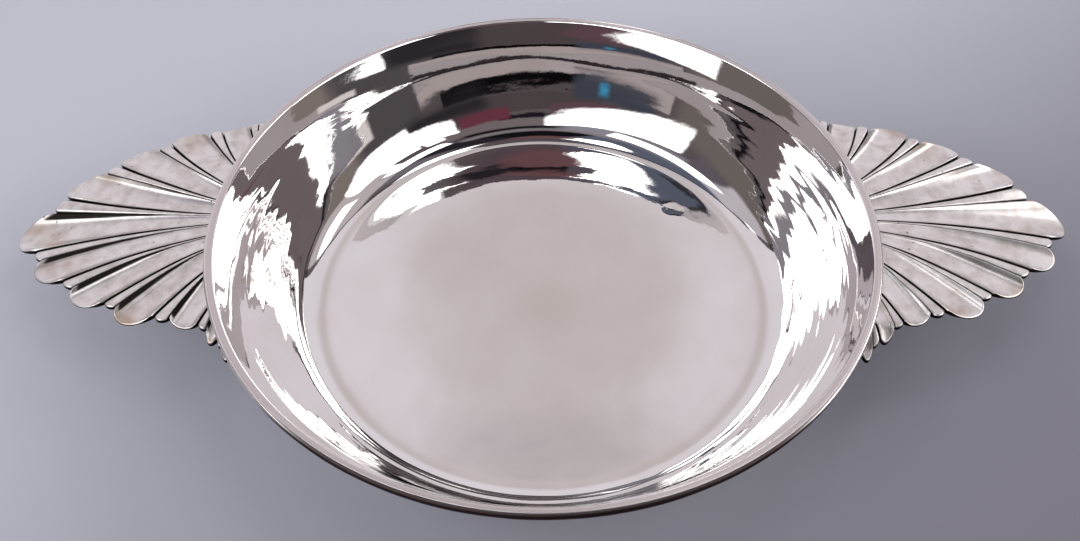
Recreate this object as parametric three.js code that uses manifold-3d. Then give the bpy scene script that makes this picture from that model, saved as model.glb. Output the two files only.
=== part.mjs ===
// Two-handled silver porringer: a raised bowl, a half-round rim band and two cast palmette handles.
// Millimetres, +Z up. The origin is on the table, under the middle of the bowl.
// +X runs from the middle of the bowl towards the right handle.
import * as THREE from 'three';
import { mergeVertices } from 'three/addons/utils/BufferGeometryUtils.js';
import Module from 'manifold-3d';

// Bowl, raised from one sheet
const rimDiameter = 150; // over the rim band
const bowlHeight = 30; // table to the top of the rim
const sheetThickness = 1.1;
const flareDepth = 5.5; // how far below the rim the wall turns outwards
const flareSlope = 61; // the slopes are degrees above level
const wallSlope = 67.5; // under the flare, where the wall is steepest
const cornerSlope = 56; // where the wall meets the curve to the floor
const cornerRadius = 8.6; // of the curve from wall to floor
const domeSlopeWidth = 18; // ring between the lowest part of the floor and its flat middle
const domeRise = 0.7; // the middle of the floor stands this much above the lowest ring
const restRingWidth = 5; // flat ring that the bowl stands on
const bowlSides = 84;
const domeSteps = 3;
const cornerSteps = 5;
const wallSteps = 4;

// Half-round wire along the outside of the rim
const bandBulge = 0.9; // beyond the wall at the rim
const bandHeight = 3;
const bandSeam = 0.1; // hair seam between band and wall
const bandArcSteps = 6;

// Cast handles: seven wide flutes to each side, counting the middle one, with a narrow dart between
const handleLength = 48.7; // from the rim band to the tip
const handleRootDrop = 6.1; // top of the casting below the rim, at the wall
const tipDroop = 3.8; // how much lower the tip is than the root
const droopPower = 2.2;
const sideRise = 1.6; // the side flutes stand this much higher than the middle one
const sideRiseStart = 14; // distance off the middle line where they reach that height
const wallFluteDroop = 2.5; // the last flutes turn down along the wall
const wallFluteStart = 32;
const wallFluteSpan = 6;
const rootThickness = 1.8; // under the grooves, at the wall
const edgeThickness = 0.6; // under the grooves, at the lobes
const handleRootDepth = 3; // how far the root runs on inside the wall before it is cut to it
const solderGap = 0.3;

// Widths and overhangs run from the middle flute outwards
const fluteWidths = [12.4, 10, 9.4, 9.2, 6.6, 4, 4];
const dartWidths = [4.4, 3.8, 3.3, 3.3, 2.5, 2.2];
const fluteOverhangs = [4.9, 4.1, 4.3, 1.9, 1.9, 2.2]; // of the side flutes; the middle one ends at the tip
const dartOverhangs = [2.4, 1.8, 1.6, 1.8, 1, 0.8];
const grooveRoots = [0.9, 2.8, 5.1, 8.4, 14.7, 21.7]; // off the middle line, where each dart's line starts
const lastFluteRoot = 27.8;
const dartRootWidth = 0.3;
const fluteBow = 0.045; // how far the first dart bends outwards, as a share of its length
const bowGain = 0.014; // each dart further out bends this much more

// The line through the notches between the flutes, on one side, as x back from the tip and y
const notchLine = [
  [6.5, 0],
  [10.6, 9.6],
  [19.8, 18.4],
  [30.2, 24.6],
  [42.4, 28.8],
  [51.7, 32.2],
  [59.7, 38],
];
const notchSteps = 400; // fine steps in which the notch line is measured

// Relief of the flutes, below their ridges
const troughDepth = 0.6;
const grooveDepth = 0.95;
const dartDrop = 0.25;
const rootReliefShare = 0.35; // the relief starts this shallow at the wall
const ridgePlace = 0.82; // of the flute's half width
const fluteSteps = [-1, -ridgePlace, -0.5, 0, 0.5, ridgePlace]; // columns across a wide flute
const dartSteps = [-1, 0]; // columns across a dart
const rowSteps = 6; // rows along a flute

// Each handle was set by hand: its swing about the bowl in degrees, its shift along Y and its drop.
// nearSpread is how much further its last flutes on the -Y side stand off the wall.
const rightHandle = { side: 1, swing: 1.5, shift: 0, lower: 0, nearSpread: 0 };
const leftHandle = { side: -1, swing: 1.5, shift: 6.6, lower: 1.9, nearSpread: 2.4 };

// Silver: the bowl and its band are polished, the castings are satin
const bowlSilver = { color: 0xd2cccb, roughness: 0.06 };
const bandSilver = { color: 0xcfc9c8, roughness: 0.08 };
const leftSilver = { color: 0xc7c1bd, roughness: 0.16 };
const rightSilver = { color: 0xc9c2bd, roughness: 0.16 };

const weldDistance = 1e-4; // corners closer than this are one

// Radii and heights of the bowl's inside
const radians = THREE.MathUtils.degToRad;
const rimInside = rimDiameter / 2 - bandBulge - bandSeam - sheetThickness;
const floorHeight = sheetThickness;
const flareStart = bowlHeight - flareDepth;
const cornerTop = floorHeight + cornerRadius * (1 - Math.cos(radians(cornerSlope)));
const wallRise = flareStart - cornerTop;
const wallMeanSlope = radians((wallSlope + cornerSlope) / 2);
const flareRadius = rimInside - flareDepth / Math.tan(radians(flareSlope));
const wallRadius = flareRadius - wallRise / Math.tan(wallMeanSlope);
const wallBend = wallRise / Math.sin(wallMeanSlope) / 2 / Math.sin(radians((wallSlope - cornerSlope) / 2));
const gutterRadius = wallRadius - cornerRadius * Math.sin(radians(cornerSlope));
const domeRadius = gutterRadius - domeSlopeWidth;
const handleReach = rimDiameter / 2 + handleLength;

const wasm = await Module();
wasm.setup();

const mix = (a, b, t) => a + (b - a) * t;
const smooth = (t) => THREE.MathUtils.smoothstep(t, 0, 1);

// Shared corners become one, collapsed triangles go, and the faces point out
function closed(geometry) {
  geometry.deleteAttribute('normal');
  geometry.deleteAttribute('uv');
  const welded = mergeVertices(geometry, weldDistance);
  const index = welded.getIndex().array;
  const place = welded.getAttribute('position');
  const corner = [new THREE.Vector3(), new THREE.Vector3(), new THREE.Vector3()];
  const faces = [];
  let volume = 0;
  for (let i = 0; i < index.length; i += 3) {
    const [a, b, c] = [index[i], index[i + 1], index[i + 2]];
    if (a === b || b === c || c === a) continue;
    faces.push([a, b, c]);
    [a, b, c].forEach((vertex, k) => corner[k].fromBufferAttribute(place, vertex));
    volume += corner[0].dot(corner[1].cross(corner[2]));
  }
  const outward = volume < 0 ? faces.map(([a, b, c]) => [a, c, b]) : faces;
  welded.setIndex(outward.flat());
  return welded;
}

function toSolid(geometry) {
  return new wasm.Manifold(new wasm.Mesh({
    numProp: 3,
    vertProperties: new Float32Array(geometry.getAttribute('position').array),
    triVerts: new Uint32Array(geometry.getIndex().array),
  }));
}

function toGeometry(solid) {
  const cut = solid.getMesh();
  const geometry = new THREE.BufferGeometry();
  geometry.setAttribute('position', new THREE.BufferAttribute(cut.vertProperties, 3));
  geometry.setIndex(new THREE.BufferAttribute(cut.triVerts, 1));
  return geometry;
}

function silverMesh(name, geometry, silver) {
  geometry.computeVertexNormals();
  const mesh = new THREE.Mesh(geometry, new THREE.MeshStandardMaterial({ ...silver, metalness: 1 }));
  mesh.name = name;
  return mesh;
}

// A profile of [radius, height] points, turned about the vertical axis
function turned(profile) {
  const points = profile.map(([radius, height]) => new THREE.Vector2(radius, height));
  return closed(new THREE.LatheGeometry(points, bowlSides).rotateX(Math.PI / 2));
}

// The inside from the middle of the floor up to the band's lower edge, then straight to the rim
function insideProfile() {
  const points = [[0, floorHeight + domeRise]];
  for (let i = 0; i <= domeSteps; i += 1) {
    const t = i / domeSteps;
    points.push([mix(domeRadius, gutterRadius, t), floorHeight + domeRise * (1 - smooth(t))]);
  }
  points.push(...slopeArc([gutterRadius, floorHeight], 0, cornerSlope, cornerRadius, cornerSteps));
  points.push(...slopeArc([wallRadius, cornerTop], cornerSlope, wallSlope, wallBend, wallSteps));
  points.push([mix(rimInside, flareRadius, bandHeight / flareDepth), bowlHeight - bandHeight]);
  points.push([rimInside, bowlHeight]);
  return points;
}

// Points along a round arc of the section, after its start, while its slope goes from one value to another
function slopeArc([radius, height], from, to, bend, steps) {
  return Array.from({ length: steps }, (_, i) => {
    const slope = radians(mix(from, to, (i + 1) / steps));
    return [
      radius + bend * (Math.sin(slope) - Math.sin(radians(from))),
      height + bend * (Math.cos(radians(from)) - Math.cos(slope)),
    ];
  });
}

// The outside follows the inside, one sheet away; the part it stands on is worn flat
function outsideProfile(inside) {
  const corners = inside.slice(1, -2).map(([radius, height], i) => {
    const [r0, h0] = inside[i];
    const [r1, h1] = inside[i + 2];
    const run = Math.hypot(r1 - r0, h1 - h0);
    const outRadius = radius + sheetThickness * (h1 - h0) / run;
    const outHeight = height - sheetThickness * (r1 - r0) / run;
    const onRing = Math.abs(outRadius - gutterRadius) <= restRingWidth / 2;
    return [outRadius, onRing ? 0 : Math.max(outHeight, 0)];
  });
  const ringEdges = [-1, 1].map((way) => [gutterRadius + way * restRingWidth / 2, 0]);
  const wall = [...corners, ...ringEdges].sort((a, b) => a[0] - b[0]);
  const top = inside.slice(-2).map(([radius, height]) => [radius + sheetThickness, height]);
  return [[0, floorHeight + domeRise - sheetThickness], ...wall, ...top];
}

const inside = insideProfile();
const outside = outsideProfile(inside);
const [bandFoot, bandTop] = outside.slice(-2);

function outsideRadiusAt(height) {
  const above = outside.findIndex((point) => point[1] > height);
  const [[r0, h0], [r1, h1]] = [outside[above - 1], outside[above]];
  return mix(r0, r1, (height - h0) / (h1 - h0));
}

function buildBowl() {
  const profile = [...inside, ...outside.slice().reverse()];
  return silverMesh('bowl', turned(profile), bowlSilver);
}

// Half-round section lying against the outside of the rim, out to the rim diameter
function buildRimBand() {
  const profile = [];
  const lean = (bandTop[0] - bandFoot[0]) / 2;
  const reach = rimDiameter / 2 - bandSeam - bandFoot[0] - lean;
  const bulge = Math.sqrt(reach ** 2 - lean ** 2);
  for (let i = 0; i <= bandArcSteps; i += 1) {
    const angle = (i / bandArcSteps - 0.5) * Math.PI;
    const along = (Math.sin(angle) + 1) / 2;
    profile.push([
      mix(bandFoot[0], bandTop[0], along) + bandSeam + bulge * Math.cos(angle),
      mix(bandFoot[1], bandTop[1], along),
    ]);
  }
  profile.push(profile[0]);
  return silverMesh('rim_band', turned(profile), bandSilver);
}

// What the handles are cut with: the bowl and its band, grown by the gap that the solder fills
function rootCutter() {
  const wall = outside.filter(([, height]) => height > sheetThickness);
  const below = wall.slice(0, -2).map(([radius, height]) => [radius + solderGap, height]);
  const overBand = rimDiameter / 2 + solderGap;
  const underBand = bandFoot[1] - solderGap;
  const cutterTop = bowlHeight + bandHeight;
  const profile = [
    [0, below[0][1]],
    ...below,
    [bandFoot[0] + solderGap, underBand],
    [overBand, underBand],
    [overBand, cutterTop],
    [0, cutterTop],
  ];
  return toSolid(turned(profile));
}

// Gives the point at a length along a curve, measured from a point that the curve passes
function arcPlacer(curve, start) {
  const points = curve.getSpacedPoints(notchSteps);
  const total = curve.getLength();
  const distances = points.map((point) => point.distanceTo(start));
  const first = distances.indexOf(Math.min(...distances)) * total / notchSteps;
  return (length) => curve.getPointAt(Math.min(1, (first + length) / total));
}

// A line from root to end that starts along the handle and bends away from its middle
function bentLine(root, end, bow) {
  const along = end.clone().sub(root);
  const bend = root.clone().add(end).multiplyScalar(0.5);
  bend.add(new THREE.Vector3(along.y, -along.x, 0).multiplyScalar(bow));
  return { root, bend, end };
}

function alongLine({ root, bend, end }, t) {
  const point = root.clone().multiplyScalar((1 - t) ** 2);
  return point.addScaledVector(bend, 2 * t * (1 - t)).addScaledVector(end, t * t);
}

// Where the grooves run: one line for each side of each dart, from the wall to its notch
function grooveLines() {
  const points = notchLine.map(([back, y]) => new THREE.Vector3(handleReach - back, y, 0));
  const before = points[1].clone().setY(-points[1].y);
  const notchAt = arcPlacer(new THREE.CatmullRomCurve3([before, ...points]), points[0]);
  const rootRadius = outsideRadiusAt(bowlHeight - handleRootDrop) - handleRootDepth;
  const rootAt = (y) => new THREE.Vector3(Math.sqrt(rootRadius ** 2 - y ** 2), y, 0);
  const lines = [];
  let along = fluteWidths[0] / 2;
  dartWidths.forEach((width, i) => {
    const bow = fluteBow + bowGain * i;
    const { bend } = bentLine(rootAt(grooveRoots[i]), notchAt(along + width / 2), bow);
    [-1, 1].forEach((way) => {
      const root = rootAt(grooveRoots[i] + way * dartRootWidth / 2);
      lines.push({ root, bend, end: notchAt(along + (way + 1) * width / 2) });
    });
    along += width + fluteWidths[i + 1];
  });
  lines.push(bentLine(rootAt(lastFluteRoot), notchAt(along), fluteBow));
  return lines;
}

function mirroredLine({ root, bend, end }) {
  const [flippedRoot, flippedBend, flippedEnd] = [root, bend, end].map((p) => p.clone().setY(-p.y));
  return { root: flippedRoot, bend: flippedBend, end: flippedEnd };
}

// One strip of the fan between each two groove lines, with the columns that cross it
function fanStrips() {
  const lines = grooveLines();
  const half = lines.slice(1).map((line, i) => {
    const wide = i % 2 === 1;
    const number = Math.floor(i / 2);
    const overhang = wide ? fluteOverhangs[number] : dartOverhangs[number];
    return { from: lines[i], to: line, overhang, steps: wide ? fluteSteps : dartSteps, wide };
  });
  const middle = {
    from: mirroredLine(lines[0]),
    to: lines[0],
    overhang: handleReach - lines[0].end.x,
    steps: fluteSteps,
    wide: true,
  };
  const other = half.map((strip) => (
    { ...strip, from: mirroredLine(strip.to), to: mirroredLine(strip.from) }
  ));
  return [...other.reverse(), middle, ...half];
}

// Height of the flutes' relief, at a place across a flute or dart
function reliefAt(wide, across) {
  const place = Math.abs(across);
  if (!wide) return -mix(dartDrop, grooveDepth, place * place);
  if (place <= ridgePlace) return -troughDepth * (1 - (place / ridgePlace) ** 2);
  return -grooveDepth * (place - ridgePlace) / (1 - ridgePlace);
}

// Height of the plain fan, before its relief
function fanHeight(x, y) {
  const root = outsideRadiusAt(bowlHeight - handleRootDrop);
  const out = Math.max(0, (x - root) / (handleReach - root));
  const side = Math.abs(y);
  const droop = tipDroop * out ** droopPower;
  const rise = sideRise * smooth(side / sideRiseStart);
  const wallDrop = wallFluteDroop * smooth((side - wallFluteStart) / wallFluteSpan);
  return bowlHeight - handleRootDrop - droop + rise - wallDrop;
}

// A box whose columns follow the strips and whose rows run from the wall to the lobes
function fanGeometry(nearSpread) {
  const strips = fanStrips();
  const columns = strips.flatMap((strip) => strip.steps.map((across) => ({ strip, across })));
  columns.push({ strip: strips.at(-1), across: 1 });
  const geometry = new THREE.BoxGeometry(1, 1, 1, columns.length - 1, 1, rowSteps);
  const place = geometry.getAttribute('position');
  for (let i = 0; i < place.count; i += 1) {
    const { strip, across } = columns[Math.round((place.getX(i) + 0.5) * (columns.length - 1))];
    const out = place.getZ(i) + 0.5;
    const share = (across + 1) / 2;
    const point = alongLine(strip.from, out).lerp(alongLine(strip.to, out), share);
    const start = strip.from.bend.clone().lerp(strip.to.bend, share);
    const end = strip.from.end.clone().lerp(strip.to.end, share);
    const lobe = strip.overhang * Math.sqrt(1 - across * across) * out * out;
    point.addScaledVector(end.sub(start).normalize(), lobe);
    point.x += nearSpread * smooth((-point.y - wallFluteStart) / wallFluteSpan);
    const relief = reliefAt(strip.wide, across) * mix(rootReliefShare, 1, out);
    const plate = -grooveDepth - mix(rootThickness, edgeThickness, out);
    const offset = place.getY(i) > 0 ? relief : plate;
    place.setXYZ(i, point.x, point.y, fanHeight(point.x, point.y) + offset);
  }
  return geometry;
}

function buildHandle(name, { side, swing, shift, lower, nearSpread }, silver, cutter) {
  const placed = fanGeometry(nearSpread);
  placed.scale(side, 1, 1);
  placed.rotateZ(radians(swing));
  placed.translate(0, shift, -lower);
  const cast = toSolid(closed(placed)).subtract(cutter);
  return silverMesh(name, closed(toGeometry(cast)), silver);
}

const porringer = new THREE.Group();
const cutter = rootCutter();
porringer.add(buildBowl());
porringer.add(buildRimBand());
porringer.add(buildHandle('handle_left', leftHandle, leftSilver, cutter));
porringer.add(buildHandle('handle_right', rightHandle, rightSilver, cutter));

export default porringer;
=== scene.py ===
import bpy
import numpy as np
from mathutils import Matrix, Vector


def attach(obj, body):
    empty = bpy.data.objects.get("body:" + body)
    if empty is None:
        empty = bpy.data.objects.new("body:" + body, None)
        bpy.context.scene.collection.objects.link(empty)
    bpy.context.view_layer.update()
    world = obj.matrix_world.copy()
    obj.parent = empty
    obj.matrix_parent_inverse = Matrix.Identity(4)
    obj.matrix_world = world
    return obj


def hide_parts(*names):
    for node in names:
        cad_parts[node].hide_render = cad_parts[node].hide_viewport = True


# Two-handled silver porringer. Sizes are in millimetres and become metres where a mesh is made.
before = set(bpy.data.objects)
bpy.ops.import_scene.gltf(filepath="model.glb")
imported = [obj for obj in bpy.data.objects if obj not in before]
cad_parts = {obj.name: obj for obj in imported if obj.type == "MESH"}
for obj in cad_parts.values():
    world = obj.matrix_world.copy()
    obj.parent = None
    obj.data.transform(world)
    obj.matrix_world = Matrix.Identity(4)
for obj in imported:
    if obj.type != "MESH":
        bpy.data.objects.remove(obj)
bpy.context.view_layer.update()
print("frame: nodes", sorted(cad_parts))

mm = 0.001
fullTurn = 2 * np.pi


# Small helpers


def eased(t):
    # smooth step: 3 t squared less 2 t cubed, held at 0 and 1
    t = np.clip(t, 0, 1)
    return t * t * (3 - 2 * t)


def rising(value, start, run):
    # smooth step from 0 at the start to 1 after the run
    return eased((value - start) / run)


def mixed(a, b, t):
    # from a to b in a straight line as t goes from 0 to 1
    return a + (b - a) * t


def linearColour(hexCode):
    # sRGB hex to linear red, green, blue and alpha
    parts = np.array([int(hexCode[i:i + 2], 16) for i in (1, 3, 5)]) / 255
    linear = np.where(parts <= 0.04045, parts / 12.92, ((parts + 0.055) / 1.055) ** 2.4)
    return (*linear, 1)


def addNode(tree, kind, settings=None, inputs=None):
    # adds one node. Its inputs come by name or as a list in order: each is a value, another node's output
    # to link, or another node, which stands for its first output in use
    node = tree.nodes.new("ShaderNode" + kind)
    for name, value in (settings or {}).items():
        setattr(node, name, value)
    named = inputs if isinstance(inputs, dict) else dict(enumerate(inputs or []))
    for socket, value in named.items():
        if isinstance(value, bpy.types.Node):
            value = next(output for output in value.outputs if output.enabled)
        if isinstance(value, bpy.types.NodeSocket):
            tree.links.new(value, node.inputs[socket])
        else:
            node.inputs[socket].default_value = value
    return node


def closedMesh(name, points, faces, attributes):
    # points in mm; faces are arrays of corner numbers, one array for each number of corners
    corners = points * mm
    volume = 0
    for block in faces:
        a = corners[block[:, 0]]
        for k in range(1, block.shape[1] - 1):
            b, c = corners[block[:, k]], corners[block[:, k + 1]]
            volume += np.einsum("ij,ij->", a, np.cross(b, c))
    if volume < 0:
        faces = [block[:, ::-1] for block in faces]
    mesh = bpy.data.meshes.new(name)
    mesh.vertices.add(len(corners))
    mesh.vertices.foreach_set("co", corners.astype(np.float32).ravel())
    order = np.concatenate([block.ravel() for block in faces])
    sizes = np.concatenate([np.full(len(block), block.shape[1]) for block in faces])
    mesh.loops.add(len(order))
    mesh.loops.foreach_set("vertex_index", order.astype(np.int32))
    mesh.polygons.add(len(sizes))
    starts = np.concatenate([[0], np.cumsum(sizes)[:-1]])
    mesh.polygons.foreach_set("loop_start", starts.astype(np.int32))
    mesh.polygons.foreach_set("use_smooth", np.ones(len(sizes), bool))
    mesh.update(calc_edges=True)
    mesh.validate()
    for key, values in attributes.items():
        mesh.attributes.new(key, "FLOAT", "POINT").data.foreach_set("value", values.astype(np.float32))
    piece = bpy.data.objects.new(name, mesh)
    bpy.context.scene.collection.objects.link(piece)
    return piece


def turnedPoints(radius, height, turns):
    # rows of a turned profile as points: radius times the cosine and the sine of each turn, and the height
    return np.stack([radius * np.cos(turns), radius * np.sin(turns), height], -1).reshape(-1, 3)


def turnedFaces(rows, around, poles):
    # quads between the rows of a turned profile; with poles, a fan closes each end, else the profile
    # closes on itself
    column = np.arange(around)
    following = (column + 1) % around
    row = np.arange(rows - 1 if poles else rows)[:, None]
    upper = (row + 1) % rows
    quads = np.stack([
        row * around + column, row * around + following,
        upper * around + following, upper * around + column,
    ], -1).reshape(-1, 4)
    if not poles:
        return [quads]
    first, last = rows * around, rows * around + 1
    end = (rows - 1) * around
    fans = np.concatenate([
        np.stack([np.full(around, first), following, column], -1),
        np.stack([np.full(around, last), end + column, end + following], -1),
    ])
    return [quads, fans]


# Camera, first, where the photograph was taken from


cameraFit = {
    "imageWidth": 1080, "imageHeight": 541, "sensor": 36,
    "focalPixels": 959.06, "middleX": 543.32, "middleY": 206.6,
    "azimuth": -0.841, "elevation": 45.425, "roll": 0.088,
    "target": (0, 0, 30), "distance": 216.6, "nearest": 10,
}


def makeCamera(fit):
    # stands at a distance from the middle of the rim; the shift puts that point at its pixel
    azimuth, elevation, roll = np.radians([fit["azimuth"], fit["elevation"], fit["roll"]])
    back = Vector((
        np.sin(azimuth) * np.cos(elevation), -np.cos(azimuth) * np.cos(elevation), np.sin(elevation)))
    level = Vector((np.cos(azimuth), np.sin(azimuth), 0))
    above = back.cross(level)
    right = level * np.cos(roll) + above * np.sin(roll)
    up = above * np.cos(roll) - level * np.sin(roll)
    place = (Vector(fit["target"]) + back * fit["distance"]) * mm
    data = bpy.data.cameras.new("camera")
    data.sensor_width = fit["sensor"]
    data.lens = fit["focalPixels"] / fit["imageWidth"] * fit["sensor"]
    data.shift_x = 0.5 - fit["middleX"] / fit["imageWidth"]
    data.shift_y = (fit["middleY"] - fit["imageHeight"] / 2) / fit["imageWidth"]
    data.clip_start = fit["nearest"] * mm
    camera = bpy.data.objects.new("camera", data)
    turn = Matrix((right, up, back)).transposed().to_4x4()
    camera.matrix_world = Matrix.Translation(place) @ turn
    bpy.context.scene.collection.objects.link(camera)
    bpy.context.scene.camera = camera


makeCamera(cameraFit)
print("camera placed")


# Bowl: raised from one sheet, planished in rings and polished


bowlShape = {
    "height": 30, "sheet": 1.1, "rimInside": 72.9, "depth": 28.9,
    "slopes": [0, 31.5, 54.1, 56.9, 62.5, 63.3, 66.6, 67.5, 59.8, 61.9],  # degrees, evenly up the wall
    "softening": 0.8,  # the slopes are eased over this length
    "domeSlope": 20, "domeRise": 0.6,
    "restRadius": 52.2, "restWidth": 5, "restEdge": 1.5, "restBelow": 4,  # the worn ring that it stands on
    "levelRise": (24, 5),  # from this height the sheet's thickness turns level, over a height of 5
    "lipRounding": 0.14, "lipFillet": 0.75,  # radii at the lip's outer and inner edge
    "around": 480, "lipRows": 5, "filletRows": 9,
    "lipSpare": 1.2, "filletSpare": 1.05,  # the other rows end this many roundings before the edge
    "domeRadius": 30, "slopeRadius": 50,  # the rows' spacing changes at these radii
    "insideSteps": (2.3, 1, 0.36),  # the spacing on the dome, the slope and the wall
    "outsideSteps": (3.4, 1.6, 1.6),
    "blows": {  # planishing blows: spacing of the rings and along a ring, tilts in degrees
        "ring": 3.4, "length": 5.6, "tiltUp": 0.2, "tiltAlong": 0.22, "height": 0.003,
        "jitter": 0.2, "sharpness": 3.2, "seed": 7,
    },
    # waves of the raising and finer ridges: number round the bowl, length up the wall and height
    "waves": [(3, 60, 0.03), (5, 38, 0.016), (8, 27, 0.01), (13, 21, 0.006), (21, 13, 0.003)],
    "ridges": [(3, 5.1, 0.012), (4, 3.3, 0.008), (7, 2.4, 0.006), (6, 1.7, 0.005)],
    "waveSlants": [(1, 0.6), (-0.7, 0.4)],  # a wave runs both ways: slant and share
    "ridgeDrift": [(5, 1.6), (11, 1.1)],  # what bends the ridges: number round the bowl and size
    "waveRise": (10, 30), "ridgeRise": (54, 5),  # starts this far along the curve and is full after the run
    "ridgeFar": {"share": 0.12, "from": 0.8, "run": 0.9},  # the ridges' share at the far side
    "ridgeSides": (0.65, 0.35),  # their mean share, and what the right side has more than that
    "calm": {"share": 0.3, "run": 0.8, "rise": (50, 8)},  # the far wall is smoother
    "crease": {  # a faint ring this far below the lip, which wanders: number round the bowl, size and phase
        "below": 10.8, "height": 0.024, "width": 0.9, "wander": [(7, 0.5, 0.4), (12, 0.3, 0)],
    },
    "marksFade": {"top": 3, "middle": 6, "outside": (0.3, 2)},  # no marks there and on the rest ring
    "warps": [(-33, 8, 15, 0.45), (30, 24, 12, 0.12)],  # broad rises of the floor: x, y, reach and height
    "dings": [(34.5, 27, 1.5, 0.14), (37, 26.2, 0.9, 0.08)],  # x, y, reach and depth
    "floorRise": (-0.6, 1), "floorTop": 6, "floorRun": 3,  # the heights between which the floor is uneven
}


def insideCurve(shape):
    # radius and height of the inside every 0.1 mm, from its slope. The wall's slope runs straight from
    # each given slope to the next, and the wall is as long as it takes to climb the depth. The floor
    # falls from its dome to the wall's foot along a smooth step. The slopes are averaged with a bell of
    # the softening length and summed
    step = 0.1
    given = np.radians(shape["slopes"])
    place = np.linspace(0, 1, len(given))
    length = shape["depth"] / np.sin(np.interp(np.linspace(0, 1, 2000), place, given)).mean()
    wall = np.interp(np.arange(0, length, step) / length, place, given)
    foot = shape["rimInside"] - np.cos(wall).sum() * step
    t = np.clip((foot - np.arange(0, foot, step)) / shape["domeSlope"], 0, 1)
    floor = -np.arctan(6 * t * (1 - t) * shape["domeRise"] / shape["domeSlope"])
    wide = shape["softening"] / step
    reach = int(3 * wide)
    bell = np.exp(-0.5 * (np.arange(-reach, reach + 1) / wide) ** 2)
    slope = np.convolve(np.pad(np.concatenate([floor, wall]), reach, "edge"), bell / bell.sum(), "valid")
    radius = np.cumsum(np.cos(slope)) - np.cos(slope[0])
    height = np.cumsum(np.sin(slope)) * step
    curve = np.stack([radius * shape["rimInside"] / radius[-1], height - height[-1] + shape["height"]])
    return np.arange(len(radius)) * step, curve


def planished(turn, along, radius, shape, random):
    # each blow is a small plane with its own height and tilt, in rings up the wall; a point takes the
    # mean of the planes near it, each weighed by a bell of its distance
    blows = shape["blows"]
    pitch, length = blows["ring"], blows["length"]
    rings = int(along.max() / pitch) + 4
    curveAlong, curve = insideCurve(shape)
    ringRadius = np.interp((np.arange(rings) + 0.5) * pitch, curveAlong, curve[0])
    counts = np.maximum(5, np.round(fullTurn * ringRadius / length)).astype(int)
    most = counts.max()
    start = random.random(rings)
    jitter = random.normal(0, blows["jitter"], (2, rings, most))
    level = random.normal(0, blows["height"], (rings, most))
    tiltUp = np.tan(np.radians(random.normal(0, blows["tiltUp"], (rings, most))))
    tiltAlong = np.tan(np.radians(random.normal(0, blows["tiltAlong"], (rings, most))))
    ring = np.floor(along / pitch).astype(int)
    total, weights = np.zeros_like(turn), np.zeros_like(turn)
    for ringStep in (-1, 0, 1):
        near = np.clip(ring + ringStep, 0, rings - 1)
        count = counts[near]
        cell = np.floor(turn / fullTurn * count - start[near]).astype(int)
        for cellStep in (-1, 0, 1):
            blow = (cell + cellStep) % count
            middle = (cell + cellStep + 0.5 + jitter[0, near, blow] + start[near]) * fullTurn / count
            aside = (turn - middle) * radius
            above = along - (near + 0.5 + jitter[1, near, blow]) * pitch
            weight = np.exp(-blows["sharpness"] * ((aside / length) ** 2 + (above / pitch) ** 2)) + 1e-9
            plane = level[near, blow] + tiltAlong[near, blow] * aside + tiltUp[near, blow] * above
            total += weight * plane
            weights += weight
    return total / weights


def hammered(turn, along, radius, shape):
    # height of the marks of the hammer: the planished blows, long slanting cosine waves from the raising,
    # finer ones high up the wall, and one faint bell-shaped ring where the lip was turned out
    random = np.random.default_rng(shape["blows"]["seed"])
    marks, waves, ridges = planished(turn, along, radius, shape, random), 0, 0
    for number, length, height in shape["waves"]:
        slant = fullTurn * along / length
        for (lean, share), phase in zip(shape["waveSlants"], random.random(2) * fullTurn):
            waves = waves + height * np.cos(number * turn + lean * slant + phase) * share
    for number, length, height in shape["ridges"]:
        first, *phases = random.random(3) * fullTurn
        drifts = zip(shape["ridgeDrift"], phases)
        drift = sum(size * np.cos(count * turn + phase) for (count, size), phase in drifts)
        ridges = ridges + height * np.cos(number * turn + fullTurn * along / length + first + drift)
    # the ridges are strongest at the right and faint at the far side, where the far wall mirrors even bands
    far, calm, crease = shape["ridgeFar"], shape["calm"], shape["crease"]
    mean, swing = shape["ridgeSides"]
    ridges = ridges * rising(along, *shape["ridgeRise"]) * (mean + swing * np.cos(turn))
    ridges = ridges * mixed(far["share"], 1, rising(-np.sin(turn), -far["from"], far["run"]))
    wander = sum(size * np.cos(count * turn + phase) for count, size, phase in crease["wander"])
    fromCrease = along.max() - crease["below"] + wander - along
    ring = crease["height"] * np.exp(-(fromCrease / crease["width"]) ** 2)
    calmed = mixed(1, calm["share"], rising(np.sin(turn), 0, calm["run"]) * rising(along, *calm["rise"]))
    return (marks + waves * rising(along, *shape["waveRise"])) * calmed + ridges + ring


def rowsAlong(curveAlong, radius, steps, shape):
    # places along the curve, spaced by the three steps on the dome, the slope and the wall
    spacing = np.select([radius < shape["domeRadius"], radius <= shape["slopeRadius"]], steps[:2], steps[2])
    counted = np.concatenate([[0], np.cumsum(np.diff(curveAlong) / spacing[1:])])
    return np.interp(np.linspace(0, counted[-1], int(counted[-1]) + 1), counted, curveAlong)[1:]


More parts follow.
